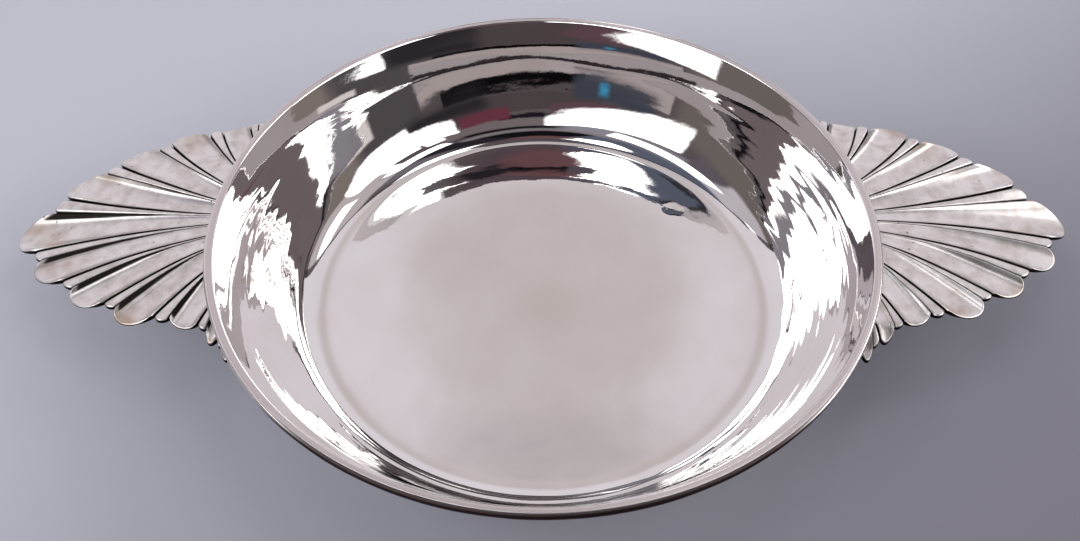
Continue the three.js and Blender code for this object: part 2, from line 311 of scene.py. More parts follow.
def makeBowl(shape):
    # the inside from the middle to the lip, the lip's two roundings, and the outside back to the middle
    curveAlong, curve = insideCurve(shape)
    slope = np.gradient(curve, curveAlong, axis=1)
    slope /= np.hypot(*slope)
    end = curveAlong[-1]
    turned = np.arctan2(slope[1, -1], slope[0, -1])
    reach = shape["lipFillet"] * np.tan(turned / 2)  # what the fillet takes of wall and lip
    rounding = shape["lipRounding"]
    innerRows = rowsAlong(curveAlong, curve[0], shape["insideSteps"], shape)
    innerRows = innerRows[innerRows < end - reach * shape["filletSpare"]]
    outerRows = rowsAlong(curveAlong, curve[0], shape["outsideSteps"], shape)
    outerRows = outerRows[outerRows < end - rounding * shape["lipSpare"]][::-1]
    turns = np.arange(shape["around"]) * fullTurn / shape["around"]

    def sheetRows(rows, thickness):
        # one surface of the sheet: the curve, moved out along its normal by the thickness and the marks
        radius, height = (np.interp(rows, curveAlong, line)[:, None] for line in curve)
        up, out = (np.interp(rows, curveAlong, line)[:, None] for line in slope)
        level = rising(height, *shape["levelRise"])
        outX, outZ = mixed(out, 1, level), mixed(-up, 0, level)
        size = np.hypot(outX, outZ)
        turn = np.broadcast_to(turns, (len(rows), len(turns)))
        along = np.broadcast_to(rows[:, None], turn.shape)
        fade = shape["marksFade"]
        marks = hammered(turn, along, np.broadcast_to(radius, turn.shape), shape)
        marks = marks * eased((end - along) / fade["top"]) * eased(along / fade["middle"])
        if thickness:
            marks = marks * rising(height, *fade["outside"])
        r = radius + (thickness + marks) * outX / size
        z = height + (thickness + marks) * outZ / size
        if thickness:
            worn = rising(np.abs(r - shape["restRadius"]), shape["restWidth"] / 2, shape["restEdge"])
            z = np.maximum(z, 0) * np.where(height < shape["restBelow"], worn, 1)
        return r, z

    innerR, innerZ = sheetRows(innerRows, 0)
    outerR, outerZ = sheetRows(outerRows, shape["sheet"])
    angle = np.linspace(0, np.pi / 2, shape["lipRows"])[:, None] * np.ones_like(turns)
    lean = np.linspace(turned, 0, shape["filletRows"])[:, None] * np.ones_like(turns)
    filletR = shape["rimInside"] + reach - shape["lipFillet"] * np.sin(lean)
    filletZ = shape["height"] - shape["lipFillet"] * (1 - np.cos(lean))
    lipR = shape["rimInside"] + shape["sheet"] - rounding * (1 - np.sin(angle))
    lipZ = shape["height"] - rounding * (1 - np.cos(angle))
    radius = np.concatenate([innerR, filletR, lipR, outerR])
    height = np.concatenate([innerZ, filletZ, lipZ, outerZ])
    middle = np.array([[0, 0, innerZ[0].mean()], [0, 0, outerZ[-1].mean()]])
    points = np.concatenate([turnedPoints(radius, height, turns), middle])
    dent(points, shape)
    worn = np.zeros_like(radius)
    wornRow = len(innerR) + shape["filletRows"] // 2  # from the middle of the fillet the lip is worn dull
    worn[wornRow:len(innerR) + shape["filletRows"] + shape["lipRows"] - 1] = 1
    return closedMesh("bowlSilver", points, turnedFaces(len(radius), shape["around"], True), {
        "worn": np.append(worn.ravel(), [0, 0])})


def dent(points, shape):
    # the floor's unevenness: rises and dings, each a bell-shaped change of height round its place
    height = points[:, 2]
    inside = rising(height, *shape["floorRise"]) * rising(-height, -shape["floorTop"], shape["floorRun"])
    marks = [*shape["warps"], *((x, y, reach, -depth) for x, y, reach, depth in shape["dings"])]
    for x, y, reach, rise in marks:
        away = np.hypot(points[:, 0] - x, points[:, 1] - y)
        points[:, 2] += rise * inside * np.exp(-(away / reach) ** 2)


bowl = makeBowl(bowlShape)
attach(bowl, "root")
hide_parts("bowl")
print("bowl made:", len(bowl.data.vertices), "points")


# Rim band: half-round wire along the outside of the rim


bandShape = {
    "reach": 75, "top": bowlShape["height"], "height": 3, "footRadius": 72.44, "topRadius": 74.02,
    "bulge": 1.24, "squareness": 0.9,
    "around": 480, "steps": 22, "backSteps": 4,
    "waver": 0.035, "waverNumbers": (5, 11, 23, 37), "seed": 3,
    "paintedShadeHeights": (0.5, 1.2),  # painted shade up to these shares of the band's height at the sides and at the front
    "paintedShadeRise": (0.45, 0.4), "paintedShadeEdge": 0.25,
}


def makeBand(shape):
    # half-round section leaning with the flare, a little flattened by wear: the line from foot to top,
    # bulged out by a power of a cosine, which wavers slightly round the rim. Its back is straight
    angle = np.linspace(-np.pi / 2, np.pi / 2, shape["steps"])[:, None]
    turns = np.arange(shape["around"])[None] * fullTurn / shape["around"]
    random = np.random.default_rng(shape["seed"])
    waver = sum(np.cos(n * turns + random.random() * fullTurn) for n in shape["waverNumbers"])
    waver = waver / len(shape["waverNumbers"])
    up = (np.sin(angle) + 1) / 2
    back = np.linspace(1, 0, shape["backSteps"] + 2)[1:-1, None]
    share = np.concatenate([up, back])
    bulge = (shape["bulge"] + shape["waver"] * waver) * np.maximum(np.cos(angle), 0) ** shape["squareness"]
    bulge = np.concatenate([bulge, back * 0 * turns])
    radius = np.minimum(mixed(shape["footRadius"], shape["topRadius"], share) + bulge, shape["reach"])
    height = shape["top"] - shape["height"] * (1 - share) + 0 * turns
    # painted shade on its lower half, higher up at the front, and behind
    low, front = shape["paintedShadeHeights"]
    shadedBelow = mixed(low, front, rising(-np.sin(turns), *shape["paintedShadeRise"]))
    worn = np.concatenate([eased((shadedBelow - up) / shape["paintedShadeEdge"]), np.ones_like(back * turns)])
    points, faces = turnedPoints(radius, height, turns), turnedFaces(len(radius), shape["around"], False)
    return closedMesh("rimBand", points, faces, {"worn": worn.ravel()})


band = makeBand(bandShape)
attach(band, "root")
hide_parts("rim_band")
print("rim band made")


# Handles: two castings of one palmette


handleShape = {
    "reach": 123.7, "wallRadius": 70.79, "rootDepth": 3,
    "rimHeight": bowlShape["height"], "rootDrop": 6.1, "tipDroop": 3.8, "droopPower": 2.2,
    "sideRise": 1.6, "sideRiseStart": 14,
    "wallDroop": 2.5, "wallStart": 32, "wallSpan": 6,
    "rootThickness": 1.8, "edgeThickness": 0.6, "leastThickness": 0.12,
    "fluteWidths": [12.4, 10, 9.4, 9.2, 6.6, 4, 4],
    "dartWidths": [4.4, 3.8, 3.3, 3.3, 2.5, 2.2],
    "fluteOverhangs": [4.9, 4.1, 4.3, 1.9, 1.9, 2.2],
    "dartOverhangs": [2.4, 1.8, 1.6, 1.8, 1, 0.8],
    "grooveRoots": [0.9, 2.8, 5.1, 8.4, 14.7, 21.7], "lastRoot": 27.8, "dartRoot": 0.3,
    "bow": 0.045, "bowGain": 0.014,
    "notches": [  # how far back from the tip, and y
        (6.5, 0), (10.6, 9.6), (19.8, 18.4), (30.2, 24.6), (42.4, 28.8), (51.7, 32.2), (59.7, 38),
    ],
    "troughDepth": 1.15, "troughRoot": 0.25, "troughStart": 0.2, "bankPower": 3.4,
    "grooveDepth": 0.95, "groovePower": 1.3, "rootRelief": 0.35, "ridge": 0.93,
    "dartDrop": 0.25, "dartPower": 6,
    "narrowest": 2, "narrowRun": 5, "narrowLeast": 0.15,  # flutes of less than 7 mm are shallow
    "wall": [  # the bowl's outside: radius and height
        (49.7, 0), (54.7, 0), (57.55, 1.62), (59.02, 2.82), (60.22, 4.27), (63.26, 9.02), (66.04, 13.91),
        (68.58, 18.93), (70.84, 24.02), (72.34, 27), (74, 30),
    ],
    "hidden": 0.4,  # columns start this deep in the wall
    "latestStart": 0.985,  # and are left out where that is further out than this share of their way
    "topRounding": 0.35, "backRounding": 0.3, "leastSquare": 0.15,
    "fluteColumns": 26, "dartColumns": 12,
    "topRows": 64, "edgeRows": 14, "edgeBackRows": 7, "backRows": 18, "edgeShare": 0.06,
    "solderReach": 1.6, "solderHeight": 0.5, "solderMost": 1.2,
    "tarnishAndShadeMasks": {  # tarnish in the grooves and at the wall, painted shade at the edges, under them and beside the wall, painted reflection on the far banks and brown at the tips: where each starts and how far it takes to be full, as shares unless said otherwise
        "fluteGroove": (0.88, 0.93), "grooveRun": 0.03, "dartGroove": (0.6, 0.2), "grooveRoot": 0.75,
        "wallShare": 0.75, "wallReach": 0.9,  # mm
        "edgeGain": 2, "edgeFrom": 0.7,
        "bankFrom": (0.8, 0.62), "bankGrowth": (0.2, 0.7), "bankRun": 0.12, "bankEnd": 0.05,
        "bankSides": (7, 9), "beside": 0.5, "besideRise": (28, 5),  # mm along Y
        # painted shade under the lobes' edges; a painted brown reflection towards the lobes' tips
        "backRise": (0.96, 0.03), "tintRise": (0.7, 0.3),
    },
}
handlePlaces = {
    "handleRight": {
        "node": "handle_right", "side": 1, "swing": 1.5, "shift": 0, "lower": 0, "nearSpread": 0,
        "bankTarnish": (0.35, 0.6),  # painted reflection on the far banks, at the near and the far side
    },
    "handleLeft": {
        "node": "handle_left", "side": -1, "swing": 1.5, "shift": 6.6, "lower": 1.9, "nearSpread": 2.4,
        # painted reflection on the far banks, at the near and the far side
        "bankTarnish": (0.85, 0.4),
    },
}


def notchCurve(shape):
    # centripetal Catmull-Rom curve through the notches and the first one mirrored, as points and lengths
    notches = np.array([(shape["reach"] - back, y) for back, y in shape["notches"]])
    points = np.concatenate([[notches[1] * [1, -1]], notches])
    points = np.concatenate([[2 * points[0] - points[1]], points, [2 * points[-1] - points[-2]]])
    t = np.linspace(0, 1, 200, endpoint=False)[:, None]
    line = []
    for p0, p1, p2, p3 in zip(points, points[1:], points[2:], points[3:]):
        d0, d1, d2 = (np.sqrt(np.linalg.norm(b - a)) for a, b in ((p0, p1), (p1, p2), (p2, p3)))
        m1 = ((p1 - p0) / d0 - (p2 - p0) / (d0 + d1) + (p2 - p1) / d1) * d1
        m2 = ((p2 - p1) / d1 - (p3 - p1) / (d1 + d2) + (p3 - p2) / d2) * d1
        span = p1 + m1 * t + (3 * (p2 - p1) - 2 * m1 - m2) * t ** 2
        line.append(span + (2 * (p1 - p2) + m1 + m2) * t ** 3)
    line = np.concatenate([*line, [points[-2]]])
    length = np.concatenate([[0], np.cumsum(np.linalg.norm(np.diff(line, axis=0), axis=1))])
    length -= length[np.argmin(np.linalg.norm(line - notches[0], axis=1))]
    return length, line


def grooveLines(shape):
    # root, bend and end of each groove line: two for each dart and one at the last flute's far side. The
    # bend lies beside the middle of root and end by a share of their distance
    length, line = notchCurve(shape)
    rootRadius = shape["wallRadius"] - shape["rootDepth"]

    def notchAt(along):
        return np.array([np.interp(along, length, line[:, k]) for k in (0, 1)])

    def rootAt(y):
        return np.array([np.sqrt(rootRadius ** 2 - y ** 2), y])

    def bendOf(root, end, bow):
        away = end - root
        return (root + end) / 2 + np.array([away[1], -away[0]]) * bow

    lines = []
    along = shape["fluteWidths"][0] / 2
    for i, width in enumerate(shape["dartWidths"]):
        bow = shape["bow"] + shape["bowGain"] * i
        bend = bendOf(rootAt(shape["grooveRoots"][i]), notchAt(along + width / 2), bow)
        for way in (-1, 1):
            root = rootAt(shape["grooveRoots"][i] + way * shape["dartRoot"] / 2)
            lines.append((root, bend, notchAt(along + (way + 1) * width / 2)))
        along += width + shape["fluteWidths"][i + 1]
    root, end = rootAt(shape["lastRoot"]), notchAt(along)
    lines.append((root, bendOf(root, end, shape["bow"]), end))
    return np.array(lines)


def fanColumns(shape):
    # every column across the fan, from -Y to +Y: its two groove lines, its place between them (-1 to 1,
    # closer together at the lines), its lobe's overhang, whether it lies on a wide flute and how deep a
    # narrow one is
    lines = grooveLines(shape)
    mirrored = lines * [1, -1]
    strips = []
    for i in range(1, len(lines)):
        wide = i % 2 == 0
        overhangs = shape["fluteOverhangs"] if wide else shape["dartOverhangs"]
        strips.append((lines[i - 1], lines[i], overhangs[(i - 1) // 2], wide))
    other = [(mirrored[i + 1], mirrored[i], strips[i][2], strips[i][3]) for i in range(len(strips))]
    middle = (mirrored[0], lines[0], shape["reach"] - lines[0][2][0], True)
    whole = [*other[::-1], middle, *strips]
    columns = {key: [] for key in ("start", "stop", "overhang", "wide", "depth", "across")}
    for number, (start, stop, overhang, wide) in enumerate(whole):
        steps = shape["fluteColumns"] if wide else shape["dartColumns"]
        across = np.sin(np.linspace(-np.pi / 2, np.pi / 2, steps + 1))
        across = across if number == len(whole) - 1 else across[:-1]
        spare = (np.linalg.norm(stop[2] - start[2]) - shape["narrowest"]) / shape["narrowRun"]
        depth = np.clip(spare, shape["narrowLeast"], 1)
        for key, value in zip(columns, (start, stop, overhang, wide, depth)):
            columns[key].append(np.repeat(np.array(value)[None], len(across), 0))
        columns["across"].append(across)
    return {key: np.concatenate(value) for key, value in columns.items()}


def fanPlace(columns, out, shape, place):
    # plan position at a share out of the way from root to lobe: a quadratic curve between the groove
    # lines, pushed out along the flute by the overhang times the half-ellipse across it and the square of
    # the way out
    share = ((columns["across"] + 1) / 2)[:, None]
    starts, stops = columns["start"], columns["stop"]
    root, bend, end = (mixed(starts[:, k], stops[:, k], share)[:, None] for k in range(3))
    t = out[..., None]
    spot = root * (1 - t) ** 2 + bend * 2 * t * (1 - t) + end * t * t
    flow = (end - bend) / np.linalg.norm(end - bend, axis=-1, keepdims=True)
    lobe = (columns["overhang"] * np.sqrt(np.maximum(0, 1 - columns["across"] ** 2)))[:, None, None]
    spot = spot + flow * lobe * t * t
    x = spot[..., 0] + place["nearSpread"] * rising(-spot[..., 1], shape["wallStart"], shape["wallSpan"])
    return x, spot[..., 1]


def fanHeight(x, y, shape):
    # plain fan: droops towards the tip by a power of the way out, the side flutes a little higher by a
    # smooth step and the last ones turned down at the wall by another
    out = np.maximum(0, (x - shape["wallRadius"]) / (shape["reach"] - shape["wallRadius"]))
    side = np.abs(y)
    height = shape["rimHeight"] - shape["rootDrop"] - shape["tipDroop"] * out ** shape["droopPower"]
    height = height + shape["sideRise"] * eased(side / shape["sideRiseStart"])
    return height - shape["wallDroop"] * rising(side, shape["wallStart"], shape["wallSpan"])


def relief(columns, out, shape):
    # below the ridges: a wide flute is a trough with a flat middle and steep banks, by the bank power of
    # the way across, that deepens towards its lobe and has a groove at each side; a dart is a flat crown
    # between its grooves
    across = np.abs(columns["across"])[:, None]
    wide = columns["wide"][:, None]
    ridge, start = shape["ridge"], shape["troughStart"]
    depth = shape["troughDepth"] * mixed(shape["troughRoot"], 1, rising(out, start, 1 - start))
    depth = depth * columns["depth"][:, None]
    inside = 1 - np.minimum(across / ridge, 1) ** shape["bankPower"]
    groove = np.clip((across - ridge) / (1 - ridge), 0, 1) ** shape["groovePower"]
    share = mixed(shape["rootRelief"], 1, out)
    flute = -depth * inside - shape["grooveDepth"] * share * groove
    dart = -mixed(shape["dartDrop"], shape["grooveDepth"], across ** shape["dartPower"]) * share
    return np.where(wide, flute, dart)


def wallAt(z, shape):
    # radius of the bowl's outside at a height on the wall
    radius, height = np.array(shape["wall"]).T
    return np.interp(z, height, radius)


def placedAt(x, y, z, place):
    # the fan mirrored to its side, turned about the bowl, shifted along Y and lowered
    x = x * place["side"]
    turn = np.radians(place["swing"])
    turnedY = x * np.sin(turn) + y * np.cos(turn)
    return x * np.cos(turn) - y * np.sin(turn), turnedY + place["shift"], z - place["lower"]


def offWall(x, y, z, shape, place):
    # level distance from the bowl's wall
    px, py, pz = placedAt(x, y, z, place)
    return np.hypot(px, py) - wallAt(pz, shape)


def makeHandle(name, shape, place):
    # the fan's top with its relief and its plainer back: columns along the flutes, each a loop of rows
    # that runs out over the top, round the lobe's edge and back underneath
    columns = fanColumns(shape)
    count = len(columns["across"])

    # each column starts where it meets the wall, found by halving
    low, high = np.zeros((count, 1)), np.ones((count, 1))
    for _ in range(30):
        half = (low + high) / 2
        x, y = fanPlace(columns, half, shape, place)
        inWall = offWall(x, y, fanHeight(x, y, shape), shape, place) < -shape["hidden"]
        low, high = np.where(inWall, half, low), np.where(inWall, high, half)
    kept = high[:, 0] < shape["latestStart"]
    first, last = np.argmax(kept), len(kept) - np.argmax(kept[::-1])
    columns = {key: value[first:last] for key, value in columns.items()}
    start = np.minimum(high[first:last], shape["latestStart"])
    count = len(start)

    edge = shape["edgeShare"]
    topShare = np.concatenate([
        np.linspace(0, 1 - edge, shape["topRows"], endpoint=False),
        1 - edge * (1 - np.linspace(0, 1, shape["edgeRows"])) ** 2,
    ])[None]
    backShare = np.concatenate([
        1 - edge * np.linspace(0, 1, shape["edgeBackRows"]) ** 2,
        np.linspace(1 - edge, 0, shape["backRows"])[1:],
    ])[None]
    outline = np.stack(fanPlace(columns, np.ones((count, 1)), shape, place), -1)[:, 0]
    tangent = np.gradient(outline, axis=0)
    tangent /= np.linalg.norm(tangent, axis=1, keepdims=True) + 1e-9
    starts, stops = columns["start"], columns["stop"]
    flow = mixed(starts[:, 2] - starts[:, 1], stops[:, 2] - stops[:, 1], 0.5)
    flow /= np.linalg.norm(flow, axis=1, keepdims=True)
    square = np.abs(tangent[:, 0] * flow[:, 1] - tangent[:, 1] * flow[:, 0])[:, None]

    def rounded(x, y, rounding):
        # drop of a quarter-round edge at a distance from the outline
        gap = np.hypot(x - outline[:, :1], y - outline[:, 1:]) * np.maximum(square, shape["leastSquare"])
        inside = np.clip(1 - gap / rounding, 0, 1)
        return rounding * (1 - np.sqrt(np.maximum(0, 1 - inside ** 2)))

    def solder(x, y, z):
        # the fillet at the wall rises with the square of the nearness
        near = np.clip(1 - offWall(x, y, z, shape, place) / shape["solderReach"], 0, shape["solderMost"])
        return shape["solderHeight"] * near ** 2

    top = mixed(start, 1, topShare)
    x, y = fanPlace(columns, top, shape, place)
    plain = fanHeight(x, y, shape)
    z = plain + relief(columns, top, shape) - rounded(x, y, shape["topRounding"]) + solder(x, y, plain)
    back = mixed(start, 1, backShare)
    xBack, yBack = fanPlace(columns, back, shape, place)
    plainBack = fanHeight(xBack, yBack, shape)
    under = shape["grooveDepth"] + mixed(shape["rootThickness"], shape["edgeThickness"], back)
    zBack = plainBack - under + rounded(xBack, yBack, shape["backRounding"])
    zBack = zBack - solder(xBack, yBack, plainBack)
    edgeHeight = plainBack[:, :1] + relief(columns, np.ones((count, 1)), shape) - shape["topRounding"]
    zBack[:, :1] = np.minimum(zBack[:, :1], edgeHeight - shape["leastThickness"])
    loops = (np.concatenate(pair, 1) for pair in ((x, xBack), (y, yBack), (z, zBack)))
    points = np.stack(placedAt(*loops, place), -1)
    rows = points.shape[1]

    # the two outer loops are capped
    row, column = np.meshgrid(np.arange(rows), np.arange(count - 1))
    following = (row + 1) % rows
    quads = np.stack([
        column * rows + row, (column + 1) * rows + row,
        (column + 1) * rows + following, column * rows + following,
    ], -1).reshape(-1, 4)
    caps = np.stack([np.arange(rows)[::-1], (count - 1) * rows + np.arange(rows)])
    tarnishAndShadeMasks = shape["tarnishAndShadeMasks"]
    edgeShare = rounded(x, y, shape["topRounding"]) / shape["topRounding"]
    fromWall = offWall(x, y, plain, shape, place)
    tarnishAndShade = tarnishAndPaintedShade(columns, top, y, fromWall, edgeShare, place["bankTarnish"], tarnishAndShadeMasks)
    # painted shade under the rim of each lobe's edge, on the back
    tarnishAndShade = np.concatenate([tarnishAndShade, rising(backShare, *tarnishAndShadeMasks["backRise"]) * np.ones_like(xBack)], 1)
    # brown towards the lobes' tips, on the wide flutes: a painted reflection
    tint = columns["wide"][:, None] * rising(np.concatenate([top, back], 1), *tarnishAndShadeMasks["tintRise"])
    return closedMesh(name, points.reshape(-1, 3), [quads, caps], {
        "tarnishAndShade": tarnishAndShade.ravel(), "lobeTipReflection": tint.ravel()})


def tarnishAndPaintedShade(columns, out, y, fromWall, edge, bankReflectionShares, tarnishAndShadeMasks):
    # the greatest of five: tarnish in the grooves, from a share of the way across; tarnish at the root,
    # falling off with the distance from the wall; painted shade on the rounded edge; a painted reflection
    # darkening the flutes' far banks near their lobes, with one share at the near side and another at the
    # far side; and painted shade on the last near flutes beside the wall. The rest is rubbed clean
    signed = columns["across"][:, None]
    across = np.abs(signed)
    wide = columns["wide"][:, None]
    fromDart, dartRun = tarnishAndShadeMasks["dartGroove"]
    grooved = np.where(wide, (across - mixed(*tarnishAndShadeMasks["fluteGroove"], out)) / tarnishAndShadeMasks["grooveRun"],
                       (across - fromDart) / dartRun)
    grooved = np.clip(grooved, 0, 1) * mixed(tarnishAndShadeMasks["grooveRoot"], 1, out)
    atWall = np.exp(-np.maximum(0, fromWall) / tarnishAndShadeMasks["wallReach"]) * tarnishAndShadeMasks["wallShare"]
    edge = np.clip(edge * tarnishAndShadeMasks["edgeGain"] - tarnishAndShadeMasks["edgeFrom"], 0, 1)
    bankFrom = mixed(*tarnishAndShadeMasks["bankFrom"], rising(out, *tarnishAndShadeMasks["bankGrowth"]))
    bank = wide * rising(signed, bankFrom, tarnishAndShadeMasks["bankRun"]) * eased((1 - out) / tarnishAndShadeMasks["bankEnd"])
    bank = bank * mixed(*bankReflectionShares, rising(y, *tarnishAndShadeMasks["bankSides"]))
    beside = rising(-y, *tarnishAndShadeMasks["besideRise"]) * tarnishAndShadeMasks["beside"]
    return np.maximum.reduce([grooved, atWall, edge, bank, beside])


handles = []
for name, place in handlePlaces.items():
    handle = makeHandle(name, handleShape, place)
    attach(handle, "root")
    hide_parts(place["node"])
    handles.append(handle)
    print(name, "made:", len(handle.data.vertices), "points")


# Materials: sterling silver, polished on the bowl, a little worn and with painted shade on the rim band,
# and cast for the handles


colourMix = {"data_type": "RGBA"}  # settings of the nodes that are used most
smooth = {"interpolation_type": "SMOOTHSTEP"}

silverLook = {  # sizes of the patterns are in mm
    "polished": {
        "colour": "#f5f3f3", "roughness": 0.025, "wornColour": "#dcd4d4", "wornRoughness": 0.3,
        "mottle": "#e6e0dd", "mottleSize": 18, "mottleShare": 0.5, "grain": 1.5, "grainHeight": 0.005,
        # a painted reflection: a faint warm spot in the middle of the floor
        "paintedReflection": {"place": (0.6, -4.2, 2), "reach": 15, "strength": 0.35, "colour": "#ded9cb"},
    },
    # the rim band: its dark colour is painted shade on the band's lower half and back
    "worn": {
        "colour": "#ebe5e4", "roughness": 0.14, "wornColour": "#332627", "wornRoughness": 0.4,
        "mottle": "#e6dfdb", "mottleSize": 18, "mottleShare": 0.5, "grain": 0.9, "grainHeight": 0.006,
    },
    "cast": {
        "colour": "#f2eeed", "roughness": 0.28, "dullColour": "#cdc4c0", "dullSize": 3.5,
        # black for the pits, the grooves' tarnish and the painted shade and reflection
        "tarnishAndShadeColour": "#17120f", "tarnishAndShadeRoughness": 0.55,
        # brown painted at the lobes' tips as a reflection
        "tintColour": "#b39578", "tintSize": 9, "tintShare": 0.7,
        "pitSpacing": 2.6, "pitPatches": 7, "pitSize": 0.2, "pitShare": 0.8,
        "grain": 1.1, "grainShare": 0.12, "relief": 0.12,
    },
}


def newMaterial(name):
    # an empty material, its tree and the place on the object that patterns are laid by
    material = bpy.data.materials.new(name)
    material.use_nodes = True
    tree = material.node_tree
    tree.nodes.clear()
    return material, tree, addNode(tree, "TexCoord").outputs["Object"]


def finishMaterial(tree, inputs):
    shader = addNode(tree, "BsdfPrincipled", None, inputs)
    addNode(tree, "OutputMaterial", None, {"Surface": shader})


def polishedSilver(name, look):
    # sterling silver, polished by hand: a nearly clean mirror, a little warm, with a faint mottle where
    # the polish has worn, a soft grain from handling, a faint painted reflection where the look gives one,
    # and duller and darker where the piece is marked: worn on the bowl's lip, painted shade on the rim band
    material, tree, place = newMaterial(name)
    worn = addNode(tree, "Attribute", {"attribute_name": "worn"}).outputs["Fac"]
    cloud = addNode(tree, "TexNoise", None, {
        "Vector": place, "Scale": 1 / (look["mottleSize"] * mm), "Detail": 4})
    mottled = addNode(tree, "MapRange", None, {
        "Value": cloud, "From Min": 0.35, "From Max": 0.75, "To Max": look["mottleShare"]})
    tone = addNode(tree, "Mix", colourMix, {
        "Factor": mottled, "A": linearColour(look["colour"]), "B": linearColour(look["mottle"])})
    if "paintedReflection" in look:  # a faint warm spot in the middle of the floor: a painted reflection
        paintedReflection = look["paintedReflection"]
        spot = tuple(part * mm for part in paintedReflection["place"])
        away = addNode(tree, "VectorMath", {"operation": "DISTANCE"}, [place, spot])
        reflectionShare = addNode(tree, "MapRange", smooth, {
            "Value": away, "From Min": paintedReflection["reach"] * mm, "From Max": 0, "To Max": paintedReflection["strength"]})
        tone = addNode(tree, "Mix", colourMix, {
            "Factor": reflectionShare, "A": tone, "B": linearColour(paintedReflection["colour"])})
    # duller and darker where marked: wear on the bowl's lip, painted shade on the rim band
    tone = addNode(tree, "Mix", colourMix, {
        "Factor": worn, "A": tone, "B": linearColour(look["wornColour"])})
    rough = addNode(tree, "MapRange", None, {
        "Value": cloud, "From Min": 0.3, "From Max": 0.7,
        "To Min": look["roughness"] * 0.7, "To Max": look["roughness"] * 1.4})
    rough = addNode(tree, "MapRange", None, {
        "Value": worn, "To Min": rough, "To Max": look["wornRoughness"]})
    grain = addNode(tree, "TexNoise", None, {
        "Vector": place, "Scale": 1 / (look["grain"] * mm), "Detail": 2, "Roughness": 0.5})
    bump = addNode(tree, "Bump", None, {
        "Height": grain, "Strength": 1, "Distance": look["grainHeight"] * mm})
    finishMaterial(tree, {"Metallic": 1, "Base Color": tone, "Roughness": rough, "Normal": bump})
    return material


def castSilver(name, look):
    # cast sterling silver, left satin: soft blurred reflections, casting pits, black tarnish in the
    # grooves, painted shade at the lobes' edges and beside the wall, a painted reflection darkening the far
    # banks, and a brown painted reflection at the tips of the lobes
    material, tree, place = newMaterial(name)
    tarnishAndShade = addNode(tree, "Attribute", {"attribute_name": "tarnishAndShade"}).outputs["Fac"]
    tint = addNode(tree, "Attribute", {"attribute_name": "lobeTipReflection"}).outputs["Fac"]

    # the silver's own tone, duller in patches, and brown painted at the lobes' tips as a reflection
    fine = addNode(tree, "TexNoise", None, {
        "Vector": place, "Scale": 1 / (look["dullSize"] * mm), "Detail": 5, "Roughness": 0.6})
    dulled = addNode(tree, "MapRange", None, {"Value": fine, "From Min": 0.42, "From Max": 0.75})
    tone = addNode(tree, "Mix", colourMix, {
        "Factor": dulled, "A": linearColour(look["colour"]), "B": linearColour(look["dullColour"])})
    patchy = addNode(tree, "TexNoise", None, {
        "Vector": place, "Scale": 1 / (look["tintSize"] * mm), "Detail": 3})
    patchy = addNode(tree, "MapRange", None, {
        "Value": patchy, "From Min": 0.45, "From Max": 0.7, "To Max": look["tintShare"]})
    tinted = addNode(tree, "Math", {"operation": "MULTIPLY"}, [tint, patchy])
    tone = addNode(tree, "Mix", colourMix, {
        "Factor": tinted, "A": tone, "B": linearColour(look["tintColour"])})

    # round pits, only where a slower noise is high
    cells = addNode(tree, "TexVoronoi", None, {
        "Vector": place, "Scale": 1 / (look["pitSpacing"] * mm), "Randomness": 1})
    rare = addNode(tree, "TexNoise", None, {
        "Vector": place, "Scale": 1 / (look["pitPatches"] * mm), "Detail": 1})
    size = addNode(tree, "MapRange", None, {
        "Value": rare, "From Min": 0.45, "From Max": 0.7, "To Max": look["pitSize"]})
    pit = addNode(tree, "MapRange", smooth, {"Value": cells, "From Min": size, "From Max": 0})
    pitted = addNode(tree, "Math", {"operation": "MULTIPLY"}, [pit, look["pitShare"]])
    # black where the grooves are tarnished and where shade and reflection are painted
    blackened = addNode(tree, "MapRange", smooth, {"Value": tarnishAndShade, "From Min": 0.25, "From Max": 0.9})
    dark = addNode(tree, "Math", {"operation": "MAXIMUM"}, [pitted, blackened])
    tone = addNode(tree, "Mix", colourMix, {
        "Factor": dark, "A": tone, "B": linearColour(look["tarnishAndShadeColour"])})
    rough = addNode(tree, "MapRange", None, {
        "Value": dark, "To Min": look["roughness"], "To Max": look["tarnishAndShadeRoughness"]})

    grain = addNode(tree, "TexNoise", None, {
        "Vector": place, "Scale": 1 / (look["grain"] * mm), "Detail": 3})
    grain = addNode(tree, "Math", {"operation": "MULTIPLY"}, [grain, look["grainShare"]])
    rise = addNode(tree, "Math", {"operation": "SUBTRACT"}, [grain, pit])
    bump = addNode(tree, "Bump", None, {"Height": rise, "Strength": 1, "Distance": look["relief"] * mm})
    finishMaterial(tree, {"Metallic": 1, "Base Color": tone, "Roughness": rough, "Normal": bump})
    return material


bowl.data.materials.append(polishedSilver("polishedSterlingSilver", silverLook["polished"]))
# the rim band: polished silver with painted shade on its lower half and back
band.data.materials.append(polishedSilver("wornSterlingSilver", silverLook["worn"]))
castMaterial = castSilver("castSterlingSilver", silverLook["cast"])
for handle in handles:
    handle.data.materials.append(castMaterial)
print("materials made")


# Floor: a sheet of pale matt paper, with painted shade: darker towards the front and the right


floorLook = {
    "size": 6000, "light": "#c7cad5", "dark": "#82808a", "roughness": 0.9, "specular": 0.2,
    "paintedShadeDirection": (0.6, -0.8, 0), "from": -85, "to": 135,
}


